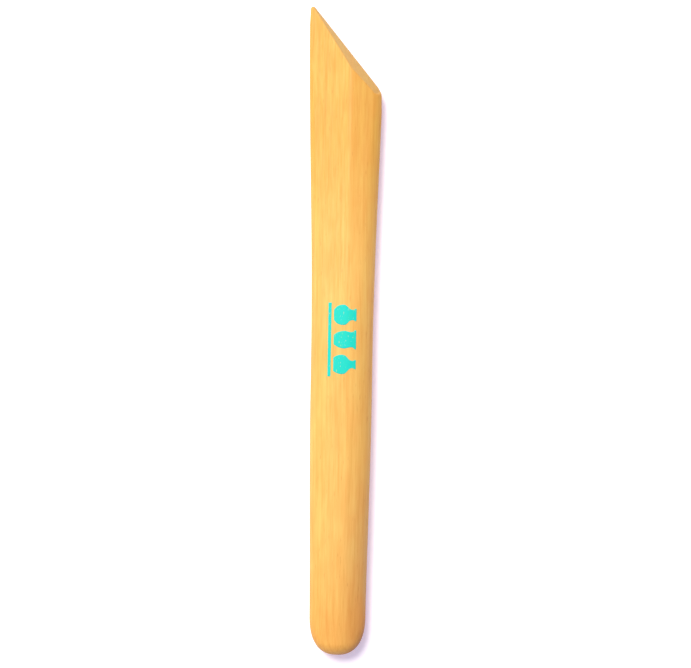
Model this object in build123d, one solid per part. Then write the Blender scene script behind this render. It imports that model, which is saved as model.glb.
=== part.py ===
from build123d import *
import math
import os

# Clay modelling tool: one stick of boxwood, with a skew knife at one end and a rounded heel at
# the other. It is carved from a single piece, and a small mark is printed on its grip.
#
# It lies flat with +Z up and its long axis on Y. The knife points to +Y, and its short side is on +X.
# The origin is under the middle of its length, on the surface that it lies on.
# A "station" is a distance along the tool from the end of its heel. Both faces are alike.

# ---- Driving sizes, mm ----
length = 150.0  # from the end of the heel to the tip

# Outline seen from above
heel_width = 12.9
grip_width = 14.25
blade_width = 17.35
full_width_start = 60.0  # station where the grip reaches its full width
flare_length = 80.0  # the grip widens into the blade over this length, up to the tip
heel_round = 9.0  # how far the rounding of the heel reaches along the tool
heel_round_power = 2.4  # 2 is an ellipse, more is blunter

# Profile seen from the side
heel_thickness = 5.4
grip_thickness = 8.0  # across the two faces of the grip, which are sanded a little flat
grip_crown = 0.08  # height that the sanding takes off each face
full_thickness_start = 45.0  # station where the grip reaches its full thickness
tip_thickness = 4.0  # across the taper's two slopes at the tip, before the flats are cut
taper_length = 66.0  # the grip thins into the blade over this length, up to the tip
taper_blend = 12.0  # half the length over which that change of slope is eased
heel_nose = 2.8  # how far the end of the heel rounds over along the tool
heel_blunting = 0.06  # how much of that rounding is taken off square at the very end

# Skew cutting edge, with a rounded corner at each end of it
edge_angle = 39.0  # between the edge and the long axis, degrees
edge_thickness = 0.5
tip_radius = 0.6
corner_radius = 4.5  # on the short side
tip_lean_length = 4.0  # the long side leans in over this length below the tip
corner_lean_length = 5.0  # and the short side over this length below its corner
side_lean = 2.5  # of both, from the long axis, degrees
bevel_angle = 42.0  # of the knife bevels, from the middle plane

# Broad flats of the blade, one pair on each face, which meet in a ridge along the tool
ridge_offset = 1.2  # from the long axis, towards the short side
ridge_drop = 0.2  # how far the ridge lies under the oval stick
back_edge_thickness = 0.7  # at the tip, on the long side
flank_angle = 8.0  # of the flat on the short side, down from the ridge, degrees

# Printed mark: three plain pots on a shelf line
mark_offset = -2.0  # middle of the mark from the middle of the tool
mark_length = 17.0
shelf_height = 0.75
shelf_gap = 0.55
pot_width = 4.7
pot_height = 5.2
pot_pitch = 5.7
pot_shapes = [(1.0, 0.62, 0.5), (0.86, 0.95, 0.46), (0.95, 0.45, 0.66)]  # belly, rim, foot by width
belly_level = 0.42  # by height
neck_level = 0.84
neck_share = 0.8  # of the rim's width
ink_thickness = 0.06

# ---- Values worked out from them ----
middle = length / 2
lying_height = grip_thickness / 2  # middle plane above the surface
taper_start = length - taper_length
taper_slope = (grip_thickness - tip_thickness) / 2 / taper_length
spare = 12.0  # how far cutting shapes reach past the wood
nose_turns = (0, 12, 24, 36, 48, 60, 75, 90)  # sections around the end of the heel, degrees
round_shares = (0.45, 0.65, 0.85, 1.1)  # sections along the heel's rounding, by its reach
gap_growth = 1.3  # of the gap from one section to the next, along the rest
section_gap = 8.0  # the longest gap


def smooth_rise(value, start, end):
    """0 before start, 1 after end, and an eased rise between them."""
    share = min(1.0, max(0.0, (value - start) / (end - start)))
    return share * share * (3 - 2 * share)


def eased_ramp(value, blend):
    """0 below -blend, value above +blend, and a parabola between them."""
    if value <= -blend:
        return 0.0
    return value if value >= blend else (value + blend) ** 2 / (4 * blend)


def rounded_end(station, reach, power):
    """Share of the full size that is left at a station of a rounded end, which is blunted a little."""
    share = max(0.0, 1 - (station + heel_blunting) / reach)
    return (1 - share**power) ** (1 / power)


def half_width(station):
    """Half the width of the oval stick at a station."""
    size = heel_width + (grip_width - heel_width) * smooth_rise(station, 0, full_width_start)
    size += (blade_width - grip_width) * smooth_rise(station, length - flare_length, length)
    return size / 2 * rounded_end(station, heel_round, heel_round_power)


def half_thickness(station):
    """Half the thickness of the oval stick at a station, before its faces are sanded."""
    short_of_full = max(0.0, 1 - station / full_thickness_start)
    full_size = grip_thickness + 2 * grip_crown
    size = full_size - (full_size - heel_thickness) * short_of_full**2
    size -= 2 * taper_slope * eased_ramp(station - taper_start, taper_blend)
    return size / 2 * rounded_end(station, heel_nose, 2)


def at(across, station, height):
    """A point in the part's frame, with its height counted from the middle plane."""
    return Vector(across, station - middle, height + lying_height)


def turned(angle):
    """A direction in plan that many degrees from +X towards +Y."""
    return Vector(math.cos(math.radians(angle)), math.sin(math.radians(angle)))


def crossing(point, direction, other_point, other_direction):
    """Where two lines in plan meet."""
    gap = other_point - point
    turn = direction.X * other_direction.Y - direction.Y * other_direction.X
    reach = (gap.X * other_direction.Y - gap.Y * other_direction.X) / turn
    return point + direction * reach


def oval_stick(grow):
    """The stick before its flats are cut: oval sections along the long axis."""
    nose = [(heel_nose - heel_blunting) * (1 - math.cos(math.radians(turn))) for turn in nose_turns]
    stations = nose + [heel_round * share for share in round_shares]
    while stations[-1] < length + spare:
        gap = stations[-1] - stations[-2]
        stations.append(stations[-1] + min(section_gap, gap * gap_growth))
    sections = []
    for station in stations:
        # Drawn from its lowest point round, so that the closing seam lies clear of the trimmed sides.
        upright = Plane(at(0, station, 0), x_dir=(0, 0, -1), z_dir=(0, 1, 0))
        oval = upright * Ellipse(half_thickness(station) + grow, half_width(station) + grow)
        sections.append(oval.face().outer_wire())
    return Solid.make_loft(sections)


def ridge_height(station):
    """Height of the ridge above the middle plane, where the two flats of a face meet."""
    return grip_thickness / 2 - taper_slope * (station - taper_start) - ridge_drop


def tip_centre():
    """Centre, in plan, of the tip's rounding, which touches the leaning long side."""
    foot = length - tip_lean_length
    lean = math.radians(side_lean)
    rise = length - tip_radius - foot
    across = -half_width(foot) + rise * math.tan(lean) + tip_radius / math.cos(lean)
    return Vector(across, length - tip_radius - middle)


def edge_line():
    """A point in plan on the skew edge, and the edge's outward direction."""
    outward = turned(edge_angle)
    return tip_centre() + outward * tip_radius, outward


def trim_outline():
    """Outline that trims the stick to its skew edge and the rounded corners at its two ends."""
    edge_point, outward = edge_line()
    edge_way = turned(edge_angle - 90)
    long_side = tip_centre() - turned(-side_lean) * tip_radius
    tip = crossing(edge_point, edge_way, long_side, turned(90 - side_lean))
    # The short side starts to lean in below the place where the edge would meet the stick's side.
    rough_corner = crossing(edge_point, edge_way, Vector(blade_width / 2, 0), Vector(0, 1))
    foot_station = rough_corner.Y + middle - corner_lean_length
    foot = Vector(half_width(foot_station), foot_station - middle)
    corner = crossing(edge_point, edge_way, foot, turned(90 + side_lean))
    # Both leaning sides run on until they are well outside the wood.
    reach = spare / math.sin(math.radians(side_lean))
    long_end = tip - turned(90 - side_lean) * reach
    short_end = corner - turned(90 + side_lean) * reach
    outline = Face(Wire.make_polygon([tip, corner, short_end, long_end]))
    for point, radius in [(tip, tip_radius), (corner, corner_radius)]:
        vertex = outline.vertices().sort_by_distance(point)[0]
        outline = outline.fillet_2d(radius, [vertex])
    return outline


def face_planes(grow):
    """The planes that are cut on the upper face, each with its normal pointing out of the wood."""
    ridge_foot = at(ridge_offset, taper_start, ridge_height(taper_start))
    ridge_tip = at(ridge_offset, length, ridge_height(length))
    along = ridge_tip - ridge_foot
    back_edge = at(-blade_width / 2, length, back_edge_thickness / 2)
    flat_normal = along.cross(back_edge - ridge_tip)
    fall = math.tan(math.radians(flank_angle))
    flank_normal = Vector(1, 0, -fall).cross(along)
    edge_point, outward = edge_line()
    edge_top = edge_point + Vector(0, 0, lying_height + edge_thickness / 2)
    lean = math.radians(bevel_angle)
    bevel_normal = outward * math.sin(lean) + Vector(0, 0, math.cos(lean))
    faces = []
    sanded = (at(0, 0, grip_thickness / 2), Vector(0, 0, 1))
    cuts = [(ridge_foot, flat_normal), (ridge_foot, flank_normal), (edge_top, bevel_normal), sanded]
    for point, normal in cuts:
        way_out = normal.normalized()
        faces.append(Plane(point + way_out * grow, z_dir=way_out))
    return faces


def under_side(plane):
    """The same cut on the lower face, mirrored in the middle plane."""
    origin, normal = plane.origin, plane.z_dir
    mirrored = Vector(origin.X, origin.Y, 2 * lying_height - origin.Z)
    return Plane(mirrored, z_dir=(normal.X, normal.Y, -normal.Z))


def carve(grow=0.0):
    """The wood. With grow, its faces lie that much further out, which the ink film is cut from."""
    wood = oval_stick(grow)
    wood = wood & extrude(Plane.XY * trim_outline(), length, both=True).solid()
    for plane in face_planes(grow):
        for cut in (plane, under_side(plane)):
            wood = split(wood, bisect_by=cut, keep=Keep.BOTTOM).solid()
    return wood


def pot(belly, rim, foot):
    """Silhouette of one pot standing on y = 0: a belly between a narrower foot and neck, and a rim."""
    half = pot_width / 2
    neck = neck_level * pot_height
    side = [(foot * half, 0), (belly * half, belly_level * pot_height), (neck_share * rim * half, neck)]
    right = Spline(*side)
    left = Spline(*[(-x, y) for x, y in side])
    lip = Polyline(right @ 1, (rim * half, pot_height), (-rim * half, pot_height), left @ 1)
    base = Line(left @ 0, right @ 0)
    return make_face([*right.edges(), *lip.edges(), *left.edges(), *base.edges()]).face()


def mark_faces():
    """The printed shapes, laid out so that they read along the tool, with their feet towards -X."""
    height = shelf_height + shelf_gap + pot_height
    shelf = Pos(0, shelf_height / 2) * Rectangle(mark_length, shelf_height)
    shapes = [shelf.face()]
    for i, shape in enumerate(pot_shapes):
        shapes.append(Pos((i - 1) * pot_pitch, shelf_height + shelf_gap) * pot(*shape))
    place = Location((-height / 2, mark_offset, 0), (0, 0, -90))
    return [place * shape for shape in shapes]


def ink_film(wood):
    """A film of ink that follows the upper face of the wood."""
    skin = carve(ink_thickness)
    film = []
    for shape in mark_faces():
        column = extrude(Pos(0, 0, lying_height) * shape, grip_thickness).solid()
        film.append(((column & skin) - wood).solid())
    return Compound(film)


def main():
    os.makedirs("parts", exist_ok=True)
    wood = carve()
    export_step(wood, "parts/carved_body.step")
    export_step(ink_film(wood), "parts/printed_mark.step")


main()
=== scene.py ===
from math import cos, pi, radians, sin, tan

import bpy
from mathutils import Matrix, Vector


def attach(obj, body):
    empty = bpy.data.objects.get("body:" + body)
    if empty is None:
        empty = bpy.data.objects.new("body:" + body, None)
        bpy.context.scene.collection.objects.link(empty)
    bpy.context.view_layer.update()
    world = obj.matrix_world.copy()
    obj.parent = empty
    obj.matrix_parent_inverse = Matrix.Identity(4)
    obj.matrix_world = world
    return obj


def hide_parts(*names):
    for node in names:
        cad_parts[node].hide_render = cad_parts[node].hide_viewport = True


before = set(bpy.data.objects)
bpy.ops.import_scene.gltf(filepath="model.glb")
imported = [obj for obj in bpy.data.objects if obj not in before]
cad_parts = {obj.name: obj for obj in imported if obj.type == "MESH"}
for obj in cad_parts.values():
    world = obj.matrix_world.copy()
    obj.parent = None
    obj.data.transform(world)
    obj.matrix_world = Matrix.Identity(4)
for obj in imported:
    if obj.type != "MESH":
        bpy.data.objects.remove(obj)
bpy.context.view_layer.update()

millimetre = 0.001
mathNode = "ShaderNodeMath"
vectorNode = "ShaderNodeVectorMath"
rangeNode = "ShaderNodeMapRange"
noiseNode = "ShaderNodeTexNoise"
noiseRoughness = 0.55
midNoise = Vector((0.5, 0.5, 0.5))  # what a colour of noise comes to on average
print("frame loaded")


# Adds a node to a tree. Its inputs are given by place or by name, each as a value, a socket or a node,
# which stands for its first output.
def addNode(tree, kind, inputs=(), **settings):
    node = tree.nodes.new(kind)
    for name, value in settings.items():
        setattr(node, name, value)
    shown = [socket for socket in node.inputs if socket.enabled]
    for key, value in inputs.items() if isinstance(inputs, dict) else enumerate(inputs):
        socket = shown[key] if isinstance(key, int) else next(s for s in shown if s.name == key)
        if isinstance(value, bpy.types.Node):
            value = next(out for out in value.outputs if out.enabled)
        if isinstance(value, bpy.types.NodeSocket):
            tree.links.new(value, socket)
        elif value is not None:
            socket.default_value = value
    return node


# An sRGB hex colour as the linear one that Blender works with
def linearColour(hexCode):
    parts = [int(hexCode[i:i + 2], 16) / 255 for i in (1, 3, 5)]
    return [part / 12.92 if part <= 0.04045 else ((part + 0.055) / 1.055) ** 2.4 for part in parts] + [1.0]


# A new geometry tree with a named input for each size, and its input and output nodes
def newShapeTree(name, sizes):
    tree = bpy.data.node_groups.new(name, "GeometryNodeTree")
    tree.interface.new_socket("Shape", in_out="OUTPUT", socket_type="NodeSocketGeometry")
    for label, value in sizes.items():
        kind = {float: "Float", int: "Int"}.get(type(value), "Object")
        tree.interface.new_socket(label, in_out="INPUT", socket_type="NodeSocket" + kind)
    return tree, tree.nodes.new("NodeGroupInput"), tree.nodes.new("NodeGroupOutput")


# Runs a tree on an empty object, with its inputs set, and leaves the result as a plain mesh piece
def bakeShape(name, tree, sizes, finishing=()):
    piece = bpy.data.objects.new(name, bpy.data.meshes.new(name))
    bpy.context.collection.objects.link(piece)
    modifier = piece.modifiers.new("shape", "NODES")
    modifier.node_group = tree
    sockets = {item.name: item.identifier for item in tree.interface.items_tree if item.in_out == "INPUT"}
    for label, value in sizes.items():
        modifier[sockets[label]] = value
    for kind, settings in finishing:
        extra = piece.modifiers.new(kind.lower(), kind)
        for key, value in settings.items():
            setattr(extra, key, value)
    evaluated = piece.evaluated_get(bpy.context.evaluated_depsgraph_get())
    mesh = bpy.data.meshes.new_from_object(evaluated)
    mesh.name = name
    piece.modifiers.clear()
    piece.data = mesh
    print(name, len(mesh.vertices), "points,", len(mesh.polygons), "faces")
    return piece


# The camera looks straight down. Its place and lens are in millimetres, and the rest is in metres.
studio = {
    "cameraAcross": 0.775,
    "cameraAlong": -0.7,
    "cameraHeight": 604.0,
    "cameraTurn": 0.96,  # degrees, so the tool leans slightly clockwise in the frame
    "lens": 135.0,
    "sensorWidth": 36.0,
    "keyFrom": (-0.30, 0.42, 0.86),  # from the upper left
    "keyDistance": 1.1,
    "keySize": 0.62,
    "keyPower": 16.3,
    "keyColour": "#FFF8EA",
    "skyColour": "#DAD6F4",  # cool fill that tints the shaded side
    "skyStrength": 0.42,
    "floorColour": "#F6F5F8",
    "floorGlow": 0.38,  # the card glows a little: painted light that keeps the shadow on it light
    "glowColour": "#E6DEFF",
    "floorWidth": 8.0,
    "floorRoughness": 0.9,
    "floorSpecular": 0.1,
}

scene = bpy.context.scene
scene.view_settings.view_transform = "Standard"

camera = bpy.data.objects.new("camera", bpy.data.cameras.new("camera"))
camera.data.lens = studio["lens"]
camera.data.sensor_width = studio["sensorWidth"]
camera.data.clip_start = 0.01
camera.location = [studio[key] * millimetre for key in ("cameraAcross", "cameraAlong", "cameraHeight")]
camera.rotation_euler = (0, 0, radians(studio["cameraTurn"]))
bpy.context.collection.objects.link(camera)
scene.camera = camera

keyLight = bpy.data.objects.new("keyLight", bpy.data.lights.new("keyLight", "AREA"))
keyLight.data.shape = "DISK"
keyLight.data.size = studio["keySize"]
keyLight.data.energy = studio["keyPower"]
keyLight.data.color = linearColour(studio["keyColour"])[:3]
keyLight.location = Vector(studio["keyFrom"]).normalized() * studio["keyDistance"]
keyLight.rotation_euler = keyLight.location.to_track_quat("Z", "Y").to_euler()
bpy.context.collection.objects.link(keyLight)

world = bpy.data.worlds.new("softRoom")
scene.world = world
world.use_nodes = True
world.node_tree.nodes["Background"].inputs["Color"].default_value = linearColour(studio["skyColour"])
world.node_tree.nodes["Background"].inputs["Strength"].default_value = studio["skyStrength"]

floorHalf = studio["floorWidth"] / 2
floorMesh = bpy.data.meshes.new("floor")
floorCorners = [(-1, -1), (1, -1), (1, 1), (-1, 1)]
floorMesh.from_pydata([(x * floorHalf, y * floorHalf, 0) for x, y in floorCorners], [], [(0, 1, 2, 3)])
floor = bpy.data.objects.new("floor", floorMesh)
bpy.context.collection.objects.link(floor)
floorFinish = bpy.data.materials.new("matteWhiteCard")  # card: even, no gloss
floorFinish.use_nodes = True
floorShader = floorFinish.node_tree.nodes["Principled BSDF"]
floorShader.inputs["Base Color"].default_value = linearColour(studio["floorColour"])
floorShader.inputs["Roughness"].default_value = studio["floorRoughness"]
floorShader.inputs["Specular IOR Level"].default_value = studio["floorSpecular"]
# The card's glow is painted light: it lifts the shadows on the floor.
floorShader.inputs["Emission Color"].default_value = linearColour(studio["glowColour"])
floorShader.inputs["Emission Strength"].default_value = studio["floorGlow"]
floorMesh.materials.append(floorFinish)
print("camera, light and floor placed")


# Boxwood: a very dense, pale yellow wood with hardly any pores. It was carved, sanded and rubbed
# with oil, so its grain shows as thin lengthwise streaks under a very low sheen. Sizes are in millimetres.
boxwood = {
    "pale": "#EBBE64",
    "warm": "#EAB45C",
    "streak": "#D6983F",
    "fleck": "#B8752F",
    "crossCut": "#BCA26D",  # the knife bevel is cut across the grain, which looks greyer
    "crossCutAcross": (-7.0, 8.0),  # the two ends of the bevel, across the stick
    "crossCutShare": (0.7, 0.4),  # and how greyed it is there
    # Tints multiply the wood's colour. Each is full at the first station given and gone at the second.
    "heelTint": ("#FBEFE0", 6.0, 24.0),  # a little darker and warmer, from oil and handling
    "bladeYellowAndShade": ("#F3EBC9", 126.0, 84.0),  # painted shade: the blade darkens towards the tip, where less light falls, and yellows a little
    "heelSideShade": ("#F2ECFA", 18.0, 50.0),  # painted shade, darker and a little violet, along the short side of the heel half, away from the light
    "shortSideShade": "#F5F3F0",  # painted shade, a little, along the whole of that side, which faces away from the light
    "sideShadeFrom": (-1.0, 6.0),  # across the stick: where those two painted shades start, and are full
    "rimGrainAndShade": "#CBB0A8",  # end grain round the rim of the heel soaks up more oil, with painted shade low down there, most on the short side
    "pithOffset": (-24.0, 0.0, -31.0),  # centre of the tree, well outside the stick
    "pithDrift": 0.016,  # how much the rings run out of line with the stick
    "ringPitch": 1.15,
    "ringRange": (-0.4, 1.0),
    "ringShare": 0.12,
    # Patterns: width and length of a cell, detail, seed, the range of noise that shows, and its full share
    "bend": {"cell": (9.0, 70.0), "detail": 2.0, "seed": 3.0, "reach": 2.6},  # bends the growth rings
    "mottle": {"cell": (2.8, 9.0), "detail": 2.0, "seed": 37.0, "range": (0.36, 0.66), "share": 1.0},
    "streaks": {"cell": (0.6, 26.0), "detail": 3.0, "seed": 11.0, "range": (0.42, 0.72), "share": 0.35},
    # Real fibres are finer than this, and are drawn coarser so that they show.
    "fibres": {"cell": (0.24, 7.0), "detail": 2.0, "seed": 23.0, "range": (0.4, 0.75), "share": 0.3},
    "flecks": {"cell": (0.3, 2.8), "detail": 1.0, "seed": 51.0, "range": (0.69, 0.78), "share": 0.35},
    "roughness": (0.56, 0.7),
    "roughnessRange": (0.3, 0.7),  # of the fibres' noise
    "wearShare": 0.22,
    "wearPolish": -0.1,
    "streakRelief": 0.8,  # beside the fibres' own
    "reliefStrength": 0.5,
    "fibreDepth": 0.02,
}


# Noise drawn out along the stick, each cell about as wide across and as long along it as the pattern says
def grainNoise(tree, place, pattern):
    width, length = pattern["cell"]
    seed = pattern["seed"]
    perCell = Vector((1 / width, 1 / length, 1 / width))
    cells = addNode(tree, vectorNode, [place, perCell], operation="MULTIPLY")
    moved = addNode(tree, vectorNode, [cells, Vector((seed, seed * 1.7, -seed))], operation="ADD")
    noise = {"Vector": moved, "Scale": 1.0, "Detail": pattern["detail"], "Roughness": noiseRoughness}
    return addNode(tree, noiseNode, noise)


# How strongly a pattern shows
def patternShare(tree, noise, pattern):
    return addNode(tree, rangeNode, [noise, *pattern["range"], 0.0, pattern["share"]])


# A mix of two colours, or the first one multiplied by the second
def mixColours(tree, share, first, hexCode, blend="MIX"):
    return addNode(tree, "ShaderNodeMix", [share, first, linearColour(hexCode)],
                   data_type="RGBA", blend_type=blend)


# The place on the piece in millimetres
def placeOnPiece(tree):
    objectPlace = addNode(tree, "ShaderNodeTexCoord").outputs["Object"]
    return addNode(tree, vectorNode, {0: objectPlace, "Scale": 1 / millimetre}, operation="SCALE")


def makeBoxwood(wood):
    material = bpy.data.materials.new("oiledBoxwood")
    material.use_nodes = True
    tree = material.node_tree
    shader = tree.nodes["Principled BSDF"]
    place = placeOnPiece(tree)

    # Growth rings round the pith, bent a little by slow noise
    bend = grainNoise(tree, place, wood["bend"])
    bendShift = addNode(tree, vectorNode, [bend.outputs["Color"], midNoise], operation="SUBTRACT")
    bendShift = addNode(tree, vectorNode, {0: bendShift, "Scale": wood["bend"]["reach"]}, operation="SCALE")
    bent = addNode(tree, vectorNode, [place, bendShift], operation="ADD")
    fromPith = addNode(tree, vectorNode, [bent, Vector(wood["pithOffset"])], operation="SUBTRACT")
    parts = addNode(tree, "ShaderNodeSeparateXYZ", [fromPith])
    across = addNode(tree, mathNode, [parts.outputs[1], wood["pithDrift"], parts.outputs[0]],
                     operation="MULTIPLY_ADD")
    flatPlace = addNode(tree, "ShaderNodeCombineXYZ", [across, 0.0, parts.outputs[2]])
    radius = addNode(tree, vectorNode, [flatPlace], operation="LENGTH").outputs["Value"]
    ringTurn = addNode(tree, mathNode, [radius, 2 * pi / wood["ringPitch"]], operation="MULTIPLY")
    ringWave = addNode(tree, mathNode, [ringTurn], operation="SINE")
    ring = addNode(tree, rangeNode, [ringWave, *wood["ringRange"], 0.0, 1.0])

    # Slow patches of pale and warm wood, then ring lines, streaks and fibres, and a few flecks
    mottle = grainNoise(tree, place, wood["mottle"])
    streak = grainNoise(tree, place, wood["streaks"])
    fibre = grainNoise(tree, place, wood["fibres"])
    fleck = grainNoise(tree, place, wood["flecks"])
    warmShare = patternShare(tree, mottle, wood["mottle"])
    ground = mixColours(tree, warmShare, linearColour(wood["pale"]), wood["warm"])
    ringShare = addNode(tree, mathNode, [ring, wood["ringShare"]], operation="MULTIPLY")
    streakShare = patternShare(tree, streak, wood["streaks"])
    lineShare = addNode(tree, mathNode, [streakShare, ringShare], operation="ADD")
    fibreShare = patternShare(tree, fibre, wood["fibres"])
    lineShare = addNode(tree, mathNode, [lineShare, fibreShare], operation="ADD", use_clamp=True)
    grained = mixColours(tree, lineShare, ground, wood["streak"])
    flecked = mixColours(tree, patternShare(tree, fleck, wood["flecks"]), grained, wood["fleck"])

    # Slow changes of colour along the stick and across it: a warmer heel, and painted shade towards the tip
    # and along the short side
    where = addNode(tree, "ShaderNodeSeparateXYZ", [place])
    heelEnd = -stick["Length"] / 2
    tintShares = {}
    # The blade's tint is painted shade, darker towards the tip where less light falls, and a little yellower.
    for part in ("heelTint", "bladeYellowAndShade", "heelSideShade"):
        _, full, gone = wood[part]
        reach = [heelEnd + gone, heelEnd + full]
        tintShares[part] = addNode(tree, rangeNode, [where.outputs[1], *reach, 0.0, 1.0],
                                   interpolation_type="SMOOTHSTEP")
    # Painted shade on the short side of the stick, which faces away from the light
    shortSide = addNode(tree, rangeNode, [where.outputs[0], *wood["sideShadeFrom"], 0.0, 1.0],
                        interpolation_type="SMOOTHSTEP")
    # Painted shade along the short side of the heel half, which faces away from the light
    heelSideShadeShare = addNode(tree, mathNode, [tintShares["heelSideShade"], shortSide], operation="MULTIPLY")
    tintShares["heelSideShade"] = heelSideShadeShare
    tinted = mixColours(tree, shortSide, flecked, wood["shortSideShade"], "MULTIPLY")
    for part, share in tintShares.items():
        tinted = mixColours(tree, share, tinted, wood[part][0], "MULTIPLY")

    # The bevel, the rim of the heel and the worn edges, as the shape marks them
    marks = {}
    for name in ("bevelCut", "heelRim", "edgeWear"):
        marks[name] = addNode(tree, "ShaderNodeAttribute", attribute_name=name).outputs["Fac"]
    bevelShare = addNode(tree, rangeNode, [where.outputs[0], *wood["crossCutAcross"], *wood["crossCutShare"]])
    bevelShare = addNode(tree, mathNode, [bevelShare, marks["bevelCut"]], operation="MULTIPLY")
    tinted = mixColours(tree, bevelShare, tinted, wood["crossCut"])
    # Darker end grain and painted shade round the low rim of the heel
    tinted = mixColours(tree, marks["heelRim"], tinted, wood["rimGrainAndShade"], "MULTIPLY")
    wearShare = addNode(tree, mathNode, [marks["edgeWear"], wood["wearShare"]], operation="MULTIPLY")
    worn = mixColours(tree, wearShare, tinted, wood["streak"])
    tree.links.new(worn.outputs[2], shader.inputs["Base Color"])

    # Satin: the fibres break up the sheen, and worn edges are smoother
    rough = addNode(tree, rangeNode, [fibre, *wood["roughnessRange"], *wood["roughness"]])
    rough = addNode(tree, mathNode, [marks["edgeWear"], wood["wearPolish"], rough], operation="MULTIPLY_ADD")
    tree.links.new(rough.outputs[0], shader.inputs["Roughness"])
    relief = addNode(tree, mathNode, [streak, wood["streakRelief"], fibre], operation="MULTIPLY_ADD")
    depth = wood["fibreDepth"] * millimetre
    bump = addNode(tree, "ShaderNodeBump",
                   {"Strength": wood["reliefStrength"], "Distance": depth, "Height": relief})
    tree.links.new(bump.outputs[0], shader.inputs["Normal"])
    return material


# The carved stick. Sizes are in millimetres and degrees.
# A station is a distance from the end of the heel.
stick = {
    "Length": 150.0,
    "Heel width": 12.9,
    "Grip width": 14.25,
    "Blade width": 17.35,
    "Full width from": 60.0,
    "Flare length": 80.0,
    "Heel round": 9.0,
    "Heel bluntness": 2.4,
    "Heel thickness": 5.4,
    "Grip thickness": 8.0,  # across its two faces, which are sanded a little flat
    "Grip crown": 0.08,  # height that the sanding takes off each face
    "Full thickness from": 45.0,
    "Tip thickness": 4.0,
    "Taper length": 66.0,
    "Taper blend": 12.0,
    "Heel nose": 2.8,
    "Edge angle": 39.0,
    "Edge thickness": 0.5,
    "Bevel angle": 42.0,
    "Tip across": -7.916,  # middle of the tip's rounding
    "Tip radius": 0.6,
    "Corner radius": 4.5,
    "Tip leans from": 146.0,
    "Corner leans from": 125.5,
    "Side lean": 2.5,
    "Ridge offset": 1.2,
    "Ridge drop": 0.2,
    "Back edge thickness": 0.7,
    "Flank angle": 8.0,
    "Flats from": 84.0,  # station where the flats start to get crisp
    "Flats by": 130.0,  # and where their outer edges and their ridge are as crisp as they get
    "Ridge by": 134.0,
    "Ridge softness": 0.06,
    "Grip softness": 0.7,  # the ridge is rubbed away towards the grip
    "Flat blend at grip": 0.5,  # how softly the flats meet the oval
    "Flat blend at tip": 0.12,
    "Sanded blend": 0.15,
    "Bevel blend": 0.1,
    "Crease fade": 0.15,  # height above the bevel over which its colour comes in
    "Edge inset": 0.0001,
    "Carving waves": 0.035,  # depth of the slight unevenness that a knife leaves
    "Wave cells across": 140.0,  # per metre
    "Wave cells along": 45.0,
    "Wear from": 92.0,  # station where the blade's wear starts
    "Wear by": 118.0,
    "Crease wear": 0.5,  # how far wear spreads from a crease, a ridge and a thin side
    "Ridge wear": 0.8,
    "Side wear": 0.5,
    "Rim dark to": 2.0,  # station up to which the rim of the heel is darkest
    "Rim pale from": 9.0,
    "Rim height": 0.3,  # half height of its darkest band, and of the whole band
    "Rim fade height": 1.9,
    "Rim on long side": 0.2,  # share of that darkening there
    "Rim full side": 0.3,  # how far towards the short side it is full: 0 is the middle, 1 that side
    "Rows around": 160,
    "Rows along": 540,
    "Row packing": 0.87,  # rows lie closer together at both ends
    "Middle shift from": 20.0,  # from this station to the next, the middle points move over to the ridge
    "Middle shift by": 80.0,
    "Skew rows from": 70.0,  # station where rows start to turn to the skew edge
    "Weld distance": 0.001,
    "Seed": 4.0,
}


# Share of the full size that is left near a rounded end
def roundedEnd(tree, station, reach, power):
    short = addNode(tree, rangeNode, [station, 0.0, reach, 1.0, 0.0])
    lost = addNode(tree, mathNode, [short, power], operation="POWER")
    kept = addNode(tree, mathNode, [1.0, lost], operation="SUBTRACT")
    inverse = addNode(tree, mathNode, [1.0, power], operation="DIVIDE")
    return addNode(tree, mathNode, [kept, inverse], operation="POWER")


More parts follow.
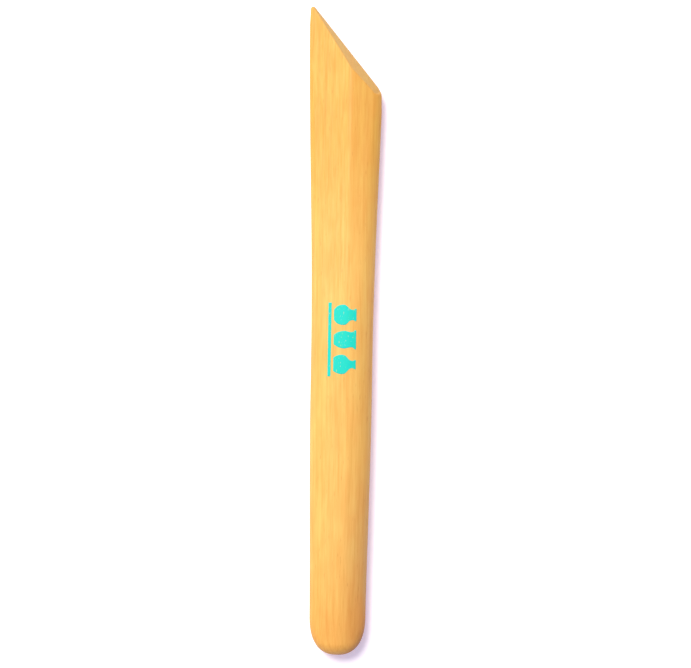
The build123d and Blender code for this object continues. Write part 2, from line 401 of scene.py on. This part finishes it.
# Half the width and half the thickness of the oval stick at a station
def ovalSection(tree, size, station, side):
    heelHalf = addNode(tree, mathNode, [size["Heel width"], 0.5], operation="MULTIPLY")
    gripHalf = addNode(tree, mathNode, [size["Grip width"], 0.5], operation="MULTIPLY")
    bladeHalf = addNode(tree, mathNode, [size["Blade width"], 0.5], operation="MULTIPLY")
    flareStart = addNode(tree, mathNode, [size["Length"], size["Flare length"]], operation="SUBTRACT")
    flareGain = addNode(tree, mathNode, [bladeHalf, gripHalf], operation="SUBTRACT")
    grip = addNode(tree, rangeNode, [station, 0.0, size["Full width from"], heelHalf, gripHalf],
                   interpolation_type="SMOOTHSTEP")
    flare = addNode(tree, rangeNode, [station, flareStart, size["Length"], 0.0, flareGain],
                    interpolation_type="SMOOTHSTEP")
    width = addNode(tree, mathNode, [grip, flare], operation="ADD")
    heelShare = roundedEnd(tree, station, size["Heel round"], size["Heel bluntness"])
    width = addNode(tree, mathNode, [width, heelShare], operation="MULTIPLY")
    # Both sides lean in below the skew edge, the long side later than the short one.
    leanStart = addNode(tree, rangeNode, [side, -0.01, 0.01,
                                          size["Tip leans from"], size["Corner leans from"]])
    leaning = addNode(tree, mathNode, [station, leanStart], operation="SUBTRACT")
    leaning = addNode(tree, mathNode, [leaning, 0.0], operation="MAXIMUM")
    leanAngle = addNode(tree, mathNode, [size["Side lean"]], operation="RADIANS")
    leanSlope = addNode(tree, mathNode, [leanAngle], operation="TANGENT")
    leanIn = addNode(tree, mathNode, [leaning, leanSlope], operation="MULTIPLY")
    width = addNode(tree, mathNode, [width, leanIn], operation="SUBTRACT")

    short = addNode(tree, rangeNode, [station, 0.0, size["Full thickness from"], 1.0, 0.0])
    short = addNode(tree, mathNode, [short, 2.0], operation="POWER")
    full = addNode(tree, mathNode, [size["Grip crown"], 2.0, size["Grip thickness"]],
                   operation="MULTIPLY_ADD")
    heelLoss = addNode(tree, mathNode, [full, size["Heel thickness"]], operation="SUBTRACT")
    heelLoss = addNode(tree, mathNode, [heelLoss, short], operation="MULTIPLY")
    taperStart = addNode(tree, mathNode, [size["Length"], size["Taper length"]], operation="SUBTRACT")
    pastTaper = addNode(tree, mathNode, [station, taperStart], operation="SUBTRACT")
    # A smooth maximum over half as much again rounds this bend as a parabola over the blend would.
    easing = addNode(tree, mathNode, [size["Taper blend"], 1.5], operation="MULTIPLY")
    ramp = addNode(tree, mathNode, [pastTaper, 0.0, easing], operation="SMOOTH_MAX")
    fall = addNode(tree, mathNode, [size["Grip thickness"], size["Tip thickness"]], operation="SUBTRACT")
    fall = addNode(tree, mathNode, [fall, size["Taper length"]], operation="DIVIDE")
    tipLoss = addNode(tree, mathNode, [ramp, fall], operation="MULTIPLY")
    thickness = addNode(tree, mathNode, [full, heelLoss], operation="SUBTRACT")
    thickness = addNode(tree, mathNode, [thickness, tipLoss], operation="SUBTRACT")
    thickness = addNode(tree, mathNode, [thickness, roundedEnd(tree, station, size["Heel nose"], 2.0)],
                        operation="MULTIPLY")
    return width, addNode(tree, mathNode, [thickness, 0.5], operation="MULTIPLY")


# Draws the points that lie between two outward directions in towards a centre, which rounds that corner
def roundCorner(tree, place, centre, firstAngle, lastAngle):
    reach = addNode(tree, vectorNode, [place, centre], operation="SUBTRACT")
    distance = addNode(tree, vectorNode, [reach], operation="LENGTH").outputs["Value"]
    facing = []
    for angle in (firstAngle, lastAngle, (firstAngle + lastAngle) / 2):
        way = Vector((cos(radians(angle)), sin(radians(angle)), 0))
        facing.append(addNode(tree, vectorNode, [reach, way], operation="DOT_PRODUCT").outputs["Value"])
    farthest = addNode(tree, mathNode, [facing[0], facing[1]], operation="MAXIMUM")
    share = addNode(tree, mathNode, [farthest, distance], operation="DIVIDE")
    widest = abs(cos(radians(lastAngle - firstAngle) / 2))
    needed = addNode(tree, mathNode, [distance, widest], operation="MULTIPLY")
    inside = addNode(tree, mathNode, [facing[2], needed], operation="GREATER_THAN")
    factor = addNode(tree, "ShaderNodeMix", [inside, 1.0, share], data_type="FLOAT")
    drawn = addNode(tree, vectorNode, {0: reach, "Scale": factor}, operation="SCALE")
    return addNode(tree, vectorNode, [drawn, centre], operation="ADD")


# Values that follow from the sizes: where the skew edge lies, and the centres of its two rounded corners
def edgeLayout(size):
    edgeWay = Vector((cos(radians(size["Edge angle"])), sin(radians(size["Edge angle"]))))
    tipCentre = Vector((size["Tip across"], size["Length"] - size["Tip radius"]))
    edgeLevel = edgeWay.dot(tipCentre) + size["Tip radius"]
    foot = size["Corner leans from"]
    flareShare = (foot - size["Length"] + size["Flare length"]) / size["Flare length"]
    flareShare = flareShare * flareShare * (3 - 2 * flareShare)
    footAcross = (size["Grip width"] + (size["Blade width"] - size["Grip width"]) * flareShare) / 2
    sideWay = Vector((cos(radians(size["Side lean"])), sin(radians(size["Side lean"]))))
    sideLevel = sideWay.dot(Vector((footAcross, foot))) - size["Corner radius"]
    innerLevel = edgeLevel - size["Corner radius"]
    turn = edgeWay.x * sideWay.y - edgeWay.y * sideWay.x
    cornerCentre = Vector(((innerLevel * sideWay.y - sideLevel * edgeWay.y) / turn,
                           (sideLevel * edgeWay.x - innerLevel * sideWay.x) / turn))
    return edgeWay, edgeLevel, tipCentre, cornerCentre


def carveStick(values, material):
    tree, entry, result = newShapeTree("carvedStick", values)
    size = {label: entry.outputs[label] for label in values}
    edgeWay, edgeLevel, tipCentre, cornerCentre = edgeLayout(values)
    farStation = (edgeLevel + edgeWay.x * values["Blade width"] / 2) / edgeWay.y
    skew = edgeWay.x / edgeWay.y

    # An unrolled grid: its X goes round the stick, from the long side over the top, and its Y along it.
    grid = addNode(tree, "GeometryNodeMeshGrid", [1.0, 1.0, size["Rows around"], size["Rows along"]])
    spot = addNode(tree, "ShaderNodeSeparateXYZ", [addNode(tree, "GeometryNodeInputPosition")])
    turn = addNode(tree, mathNode, [spot.outputs[0], 2 * pi], operation="MULTIPLY")
    side = addNode(tree, mathNode, [turn], operation="COSINE")
    upward = addNode(tree, mathNode, [turn], operation="SINE")
    along = addNode(tree, mathNode, [spot.outputs[1], 0.5], operation="ADD")
    fullTurn = addNode(tree, mathNode, [along, 2 * pi], operation="MULTIPLY")
    swing = addNode(tree, mathNode, [fullTurn], operation="SINE")
    packed = addNode(tree, mathNode, [swing, -values["Row packing"] / (2 * pi), along],
                     operation="MULTIPLY_ADD")
    row = addNode(tree, mathNode, [packed, farStation], operation="MULTIPLY")
    # Rows turn to lie along the skew edge as they near it.
    skewShare = addNode(tree, rangeNode, [row, size["Skew rows from"], farStation, 0.0, skew],
                        interpolation_type="SMOOTHSTEP")
    bladeHalf = addNode(tree, mathNode, [size["Blade width"], 0.5], operation="MULTIPLY")
    ridgeShift = addNode(tree, rangeNode, [row, size["Middle shift from"], size["Middle shift by"],
                                           0.0, size["Ridge offset"]],
                         interpolation_type="SMOOTHSTEP")
    upwardSquare = addNode(tree, mathNode, [upward, upward], operation="MULTIPLY")
    middleShift = addNode(tree, mathNode, [ridgeShift, upwardSquare], operation="MULTIPLY")

    # Where a point lies across the stick and along it, for a half width there
    def layPoint(halfWidth):
        across = addNode(tree, mathNode, [halfWidth, side, middleShift], operation="MULTIPLY_ADD")
        fromLong = addNode(tree, mathNode, [across, bladeHalf], operation="ADD")
        slide = addNode(tree, mathNode, [fromLong, skewShare], operation="MULTIPLY")
        return across, addNode(tree, mathNode, [row, slide], operation="SUBTRACT")

    # The width depends on the station, and on a turned row the station depends on the width.
    width = bladeHalf
    for _ in range(2):
        station = layPoint(width)[1]
        width, thickness = ovalSection(tree, size, station, side)
    across, station = layPoint(width)

    # Height of the oval over the middle plane
    shareAcross = addNode(tree, mathNode, [across, width], operation="DIVIDE")
    shareSquare = addNode(tree, mathNode, [shareAcross, shareAcross], operation="MULTIPLY")
    left = addNode(tree, mathNode, [1.0, shareSquare], operation="SUBTRACT", use_clamp=True)
    ovalShare = addNode(tree, mathNode, [left], operation="SQRT")
    ovalHeight = addNode(tree, mathNode, [ovalShare, thickness], operation="MULTIPLY")
    sanded = addNode(tree, mathNode, [size["Grip thickness"], 0.5], operation="MULTIPLY")
    ovalHeight = addNode(tree, mathNode, [ovalHeight, sanded, size["Sanded blend"]], operation="SMOOTH_MIN")

    # Height of the two broad flats, which meet in a ridge
    taperStart = values["Length"] - values["Taper length"]
    taperSlope = (values["Grip thickness"] - values["Tip thickness"]) / 2 / values["Taper length"]
    ridgeTop = values["Grip thickness"] / 2 - values["Ridge drop"] + taperSlope * taperStart
    ridge = addNode(tree, mathNode, [station, -taperSlope, ridgeTop], operation="MULTIPLY_ADD")
    tipRidge = ridgeTop - taperSlope * values["Length"]
    backReach = values["Blade width"] / 2 + values["Ridge offset"]
    backFall = (tipRidge - values["Back edge thickness"] / 2) / backReach
    flankFall = tan(radians(values["Flank angle"]))
    fromRidge = addNode(tree, mathNode, [across, size["Ridge offset"]], operation="SUBTRACT")
    softness = addNode(tree, rangeNode, [station, size["Flats from"], size["Ridge by"],
                                         size["Grip softness"], size["Ridge softness"]],
                       interpolation_type="SMOOTHSTEP")
    softSquare = addNode(tree, mathNode, [softness, softness], operation="MULTIPLY")
    roundSquare = addNode(tree, mathNode, [fromRidge, fromRidge, softSquare], operation="MULTIPLY_ADD")
    softDistance = addNode(tree, mathNode, [roundSquare], operation="SQRT")
    evenFall = addNode(tree, mathNode, [softDistance, -(backFall + flankFall) / 2, ridge],
                       operation="MULTIPLY_ADD")
    flatHeight = addNode(tree, mathNode, [fromRidge, (backFall - flankFall) / 2, evenFall],
                         operation="MULTIPLY_ADD")

    # Height of the knife bevel, which rounds over at the very edge
    place = addNode(tree, "ShaderNodeCombineXYZ", [across, station, 0.0])
    outward = addNode(tree, vectorNode, [place, Vector((*edgeWay, 0))], operation="DOT_PRODUCT")
    # Held back by a hair, so that the outermost points have no height and the two faces meet there
    heldBack = edgeLevel - values["Edge inset"]
    inFromEdge = addNode(tree, mathNode, [heldBack, outward.outputs["Value"]], operation="SUBTRACT")
    inFromEdge = addNode(tree, mathNode, [inFromEdge, 0.0], operation="MAXIMUM")
    bevelSlope = tan(radians(values["Bevel angle"]))
    edgeRound = values["Edge thickness"] / bevelSlope
    rounded = addNode(tree, mathNode, [inFromEdge, edgeRound], operation="ADD")
    rounded = addNode(tree, mathNode, [rounded, inFromEdge], operation="MULTIPLY")
    rounded = addNode(tree, mathNode, [rounded], operation="SQRT")
    bevelHeight = addNode(tree, mathNode, [rounded, bevelSlope], operation="MULTIPLY")

    faceBlend = addNode(tree, rangeNode, [station, size["Flats from"], size["Flats by"],
                                          size["Flat blend at grip"], size["Flat blend at tip"]],
                        interpolation_type="SMOOTHSTEP")
    faceHeight = addNode(tree, mathNode, [ovalHeight, flatHeight, faceBlend], operation="SMOOTH_MIN")
    height = addNode(tree, mathNode, [faceHeight, bevelHeight, size["Bevel blend"]], operation="SMOOTH_MIN")
    height = addNode(tree, mathNode, [height, 0.0], operation="MAXIMUM")
    upOrDown = addNode(tree, mathNode, [upward], operation="SIGN")
    level = addNode(tree, mathNode, [height, upOrDown], operation="MULTIPLY")

    # Round the two corners of the skew edge, then put the stick in place.
    leanIn = values["Side lean"]
    rounded = roundCorner(tree, place, Vector((*tipCentre, 0)), values["Edge angle"], 180 - leanIn)
    rounded = roundCorner(tree, rounded, Vector((*cornerCentre, 0)), leanIn, values["Edge angle"])
    lifted = addNode(tree, "ShaderNodeCombineXYZ", [0.0, 0.0, level])
    shaped = addNode(tree, vectorNode, [rounded, lifted], operation="ADD")
    home = Vector((0, -values["Length"] / 2, values["Grip thickness"] / 2))
    shaped = addNode(tree, vectorNode, [shaped, home], operation="ADD")
    shaped = addNode(tree, vectorNode, {0: shaped, "Scale": millimetre}, operation="SCALE")

    # How much each point is worn: along the ridge, round the bevels and on the thin sides of the blade
    onBlade = addNode(tree, rangeNode, [station, size["Wear from"], size["Wear by"], 0.0, 1.0],
                      interpolation_type="SMOOTHSTEP")
    pastCrease = addNode(tree, mathNode, [faceHeight, bevelHeight], operation="SUBTRACT")
    creaseGap = addNode(tree, mathNode, [pastCrease], operation="ABSOLUTE")
    creaseWear = addNode(tree, rangeNode, [creaseGap, 0.0, size["Crease wear"], 1.0, 0.0],
                         interpolation_type="SMOOTHSTEP")
    ridgeWear = addNode(tree, rangeNode, [softDistance, 0.0, size["Ridge wear"], 1.0, 0.0],
                        interpolation_type="SMOOTHSTEP")
    sideWear = addNode(tree, rangeNode, [height, 0.0, size["Side wear"], 1.0, 0.0],
                       interpolation_type="SMOOTHSTEP")
    wear = addNode(tree, mathNode, [ridgeWear, sideWear], operation="MAXIMUM")
    wear = addNode(tree, mathNode, [wear, onBlade], operation="MULTIPLY")
    wear = addNode(tree, mathNode, [wear, creaseWear], operation="MAXIMUM")
    # Where the knife bevel is cut
    bevelCut = addNode(tree, rangeNode, [pastCrease, 0.0, size["Crease fade"], 0.0, 1.0],
                       interpolation_type="SMOOTHSTEP")
    # The rim of the heel, where the fibres end: darker end grain, with painted shade low down and mostly
    # towards the short side
    atHeel = addNode(tree, rangeNode, [station, size["Rim dark to"], size["Rim pale from"], 1.0, 0.0],
                     interpolation_type="SMOOTHSTEP")
    lowDown = addNode(tree, rangeNode, [height, size["Rim height"], size["Rim fade height"], 1.0, 0.0],
                      interpolation_type="SMOOTHSTEP")
    towardsShort = addNode(tree, rangeNode, [side, -1.0, size["Rim full side"],
                                             size["Rim on long side"], 1.0])
    rim = addNode(tree, mathNode, [atHeel, lowDown], operation="MULTIPLY")
    rim = addNode(tree, mathNode, [rim, towardsShort], operation="MULTIPLY")
    marked = grid
    for name, share in {"edgeWear": wear, "bevelCut": bevelCut, "heelRim": rim}.items():
        stored = {"Geometry": marked, "Name": name, "Value": share}
        marked = addNode(tree, "GeometryNodeStoreNamedAttribute", stored, data_type="FLOAT", domain="POINT")

    formed = addNode(tree, "GeometryNodeSetPosition", {"Geometry": marked, "Position": shaped})
    weld = {"Geometry": formed, "Distance": values["Weld distance"] * millimetre}
    closed = addNode(tree, "GeometryNodeMergeByDistance", weld)
    turned = addNode(tree, "GeometryNodeFlipFaces", [closed])
    smooth = addNode(tree, "GeometryNodeSetShadeSmooth", [turned])
    # Long shallow waves from the carving
    here = addNode(tree, "GeometryNodeInputPosition")
    waveScale = Vector((values["Wave cells across"], values["Wave cells along"], values["Wave cells across"]))
    waveCells = addNode(tree, vectorNode, [here, waveScale], operation="MULTIPLY")
    waves = addNode(tree, noiseNode, {"Vector": waveCells, "W": size["Seed"], "Scale": 1.0, "Detail": 1.0},
                    noise_dimensions="4D")
    depth = addNode(tree, mathNode, [size["Carving waves"], 2 * millimetre], operation="MULTIPLY")
    centred = addNode(tree, mathNode, [waves, 0.5], operation="SUBTRACT")
    push = addNode(tree, mathNode, [centred, depth], operation="MULTIPLY")
    offset = addNode(tree, vectorNode, {0: addNode(tree, "GeometryNodeInputNormal"), "Scale": push},
                     operation="SCALE")
    waved = addNode(tree, "GeometryNodeSetPosition", {"Geometry": smooth, "Offset": offset})
    real = addNode(tree, "GeometryNodeRealizeInstances", [waved])
    finished = addNode(tree, "GeometryNodeSetMaterial", {"Geometry": real, "Material": material})
    tree.links.new(finished.outputs[0], result.inputs[0])
    return bakeShape("carvedStick", tree, values)


stickPiece = carveStick(stick, makeBoxwood(boxwood))
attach(stickPiece, "root")
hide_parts("carved_body")
print("stick carved")


# The printed mark: three plain pots standing on a shelf line, read along the tool, in millimetres
mark = {
    "Along": -2.0,  # middle of the mark from the middle of the tool
    "Length": 17.0,
    "Shelf height": 0.75,
    "Shelf gap": 0.55,
    "Pot width": 4.7,
    "Pot height": 5.2,
    "Pot pitch": 5.7,
    "Edge unevenness": 0.11,
    "Uneven cells": 2.2,  # per millimetre
    "Film rise": 0.03,
    "Film thickness": 0.05,
    "Drop height": 20.0,  # the flat shapes start above the wood, and are dropped on it from here
    "Pot points across": 27,
    "Pot points up": 41,
    "Shelf points along": 121,
    "Shelf points up": 7,
    "Seed": 2.0,
    "Wood": stickPiece,
}
# Each pot's width up its height, both as shares: foot, belly, neck and rim
potOutlines = {
    "roundJar": [(0.0, 0.5), (0.42, 1.0), (0.84, 0.5), (0.97, 0.62), (1.0, 0.56)],
    "bowl": [(0.0, 0.46), (0.42, 0.86), (0.84, 0.76), (0.97, 0.95), (1.0, 0.88)],
    "bottle": [(0.0, 0.66), (0.42, 0.95), (0.84, 0.36), (0.97, 0.45), (1.0, 0.4)],
}

# Pad-printed ink: a thin even coat of opaque turquoise that dries matte and breaks up over the grain
ink = {
    "colour": "#10CDC0",
    "thin": "#30CFAA",  # where the coat is thin and the wood warms it
    "bare": "#D9B466",  # pinholes that show the wood
    "patches": {"cell": (0.5, 3.0), "detail": 2.0, "seed": 5.0, "range": (0.45, 0.75), "share": 0.6},
    "pinholes": {"cell": (0.2, 0.9), "detail": 1.0, "seed": 17.0, "range": (0.7, 0.76), "share": 0.7},
    "specular": 0.2,
    "roughness": (0.5, 0.62),
    "roughnessRange": (0.3, 0.7),  # of the patches' noise
    "pinholeRelief": -0.6,
    "reliefStrength": 0.4,
    "reliefDepth": 0.02,
}


def makeInk(coat):
    material = bpy.data.materials.new("padPrintedInk")
    material.use_nodes = True
    tree = material.node_tree
    shader = tree.nodes["Principled BSDF"]
    place = placeOnPiece(tree)
    patch = grainNoise(tree, place, coat["patches"])
    pinhole = grainNoise(tree, place, coat["pinholes"])
    patchShare = patternShare(tree, patch, coat["patches"])
    coated = mixColours(tree, patchShare, linearColour(coat["colour"]), coat["thin"])
    broken = mixColours(tree, patternShare(tree, pinhole, coat["pinholes"]), coated, coat["bare"])
    tree.links.new(broken.outputs[2], shader.inputs["Base Color"])
    shader.inputs["Specular IOR Level"].default_value = coat["specular"]
    rough = addNode(tree, rangeNode, [patch, *coat["roughnessRange"], *coat["roughness"]])
    tree.links.new(rough.outputs[0], shader.inputs["Roughness"])
    relief = addNode(tree, mathNode, [pinhole, coat["pinholeRelief"], patch], operation="MULTIPLY_ADD")
    depth = coat["reliefDepth"] * millimetre
    bump = addNode(tree, "ShaderNodeBump",
                   {"Strength": coat["reliefStrength"], "Distance": depth, "Height": relief})
    tree.links.new(bump.outputs[0], shader.inputs["Normal"])
    return material


def printMark(values, outlines, material):
    tree, entry, result = newShapeTree("printedMark", values)
    size = {label: entry.outputs[label] for label in values}
    spot = addNode(tree, "ShaderNodeSeparateXYZ", [addNode(tree, "GeometryNodeInputPosition")])
    up = addNode(tree, mathNode, [spot.outputs[1], 0.5], operation="ADD")
    potFoot = addNode(tree, mathNode, [size["Shelf height"], size["Shelf gap"]], operation="ADD")
    shapes = []
    for i, outline in enumerate(outlines.values()):
        grid = addNode(tree, "GeometryNodeMeshGrid",
                       [1.0, 1.0, size["Pot points across"], size["Pot points up"]])
        profile = addNode(tree, "ShaderNodeFloatCurve", {"Value": up})
        curve = profile.mapping.curves[0]
        for point, (level, share) in zip((curve.points[0], curve.points[1]), (outline[0], outline[-1])):
            point.location = (level, share)
        for level, share in outline[1:-1]:
            curve.points.new(level, share)
        profile.mapping.update()
        wide = addNode(tree, mathNode, [profile, size["Pot width"]], operation="MULTIPLY")
        middle = addNode(tree, mathNode, [size["Pot pitch"], i - 1.0], operation="MULTIPLY")
        sideways = addNode(tree, mathNode, [wide, spot.outputs[0], middle], operation="MULTIPLY_ADD")
        level = addNode(tree, mathNode, [up, size["Pot height"], potFoot], operation="MULTIPLY_ADD")
        drawn = addNode(tree, "ShaderNodeCombineXYZ", [sideways, level, 0.0])
        shapes.append(addNode(tree, "GeometryNodeSetPosition", {"Geometry": grid, "Position": drawn}))
    shelfGrid = addNode(tree, "GeometryNodeMeshGrid",
                        [1.0, 1.0, size["Shelf points along"], size["Shelf points up"]])
    sideways = addNode(tree, mathNode, [spot.outputs[0], size["Length"]], operation="MULTIPLY")
    level = addNode(tree, mathNode, [up, size["Shelf height"]], operation="MULTIPLY")
    drawn = addNode(tree, "ShaderNodeCombineXYZ", [sideways, level, 0.0])
    shapes.append(addNode(tree, "GeometryNodeSetPosition", {"Geometry": shelfGrid, "Position": drawn}))
    joined = addNode(tree, "GeometryNodeJoinGeometry")
    for shape in shapes:
        tree.links.new(shape.outputs[0], joined.inputs[0])

    # Ink spreads a little unevenly at its edges.
    here = addNode(tree, "GeometryNodeInputPosition")
    unevenness = {"Vector": here, "W": size["Seed"], "Scale": size["Uneven cells"], "Detail": 1.0}
    spread = addNode(tree, noiseNode, unevenness, noise_dimensions="4D")
    centred = addNode(tree, vectorNode, [spread.outputs["Color"], midNoise], operation="SUBTRACT")
    shift = addNode(tree, vectorNode, {0: centred, "Scale": size["Edge unevenness"]}, operation="SCALE")
    uneven = addNode(tree, vectorNode, [here, shift], operation="ADD")
    # The feet point to -X and the row of pots runs along Y.
    parts = addNode(tree, "ShaderNodeSeparateXYZ", [uneven])
    whole = addNode(tree, mathNode, [potFoot, size["Pot height"]], operation="ADD")
    half = addNode(tree, mathNode, [whole, 0.5], operation="MULTIPLY")
    across = addNode(tree, mathNode, [parts.outputs[1], half], operation="SUBTRACT")
    along = addNode(tree, mathNode, [size["Along"], parts.outputs[0]], operation="SUBTRACT")
    above = addNode(tree, "ShaderNodeCombineXYZ", [across, along, size["Drop height"]])
    above = addNode(tree, vectorNode, {0: above, "Scale": millimetre}, operation="SCALE")
    laidOut = addNode(tree, "GeometryNodeSetPosition", {"Geometry": joined, "Position": above})
    # The film follows the wood under it.
    wood = addNode(tree, "GeometryNodeObjectInfo", {"Object": size["Wood"]})
    ray = {"Target Geometry": wood.outputs["Geometry"], "Source Position": here,
           "Ray Direction": Vector((0, 0, -1)), "Ray Length": 2 * values["Drop height"] * millimetre}
    rayDown = addNode(tree, "GeometryNodeRaycast", ray)
    rise = addNode(tree, mathNode, [size["Film rise"], millimetre], operation="MULTIPLY")
    lift = addNode(tree, vectorNode, {0: rayDown.outputs["Hit Normal"], "Scale": rise}, operation="SCALE")
    landed = addNode(tree, vectorNode, [rayDown.outputs["Hit Position"], lift], operation="ADD")
    laid = addNode(tree, "GeometryNodeSetPosition", {"Geometry": laidOut, "Position": landed})
    smooth = addNode(tree, "GeometryNodeSetShadeSmooth", [laid])
    real = addNode(tree, "GeometryNodeRealizeInstances", [smooth])
    finished = addNode(tree, "GeometryNodeSetMaterial", {"Geometry": real, "Material": material})
    tree.links.new(finished.outputs[0], result.inputs[0])
    film = {"thickness": values["Film thickness"] * millimetre, "offset": -1.0}
    return bakeShape("printedPots", tree, values, [("SOLIDIFY", film)])


markPiece = printMark(mark, potOutlines, makeInk(ink))
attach(markPiece, "root")
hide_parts("printed_mark")
print("mark printed")
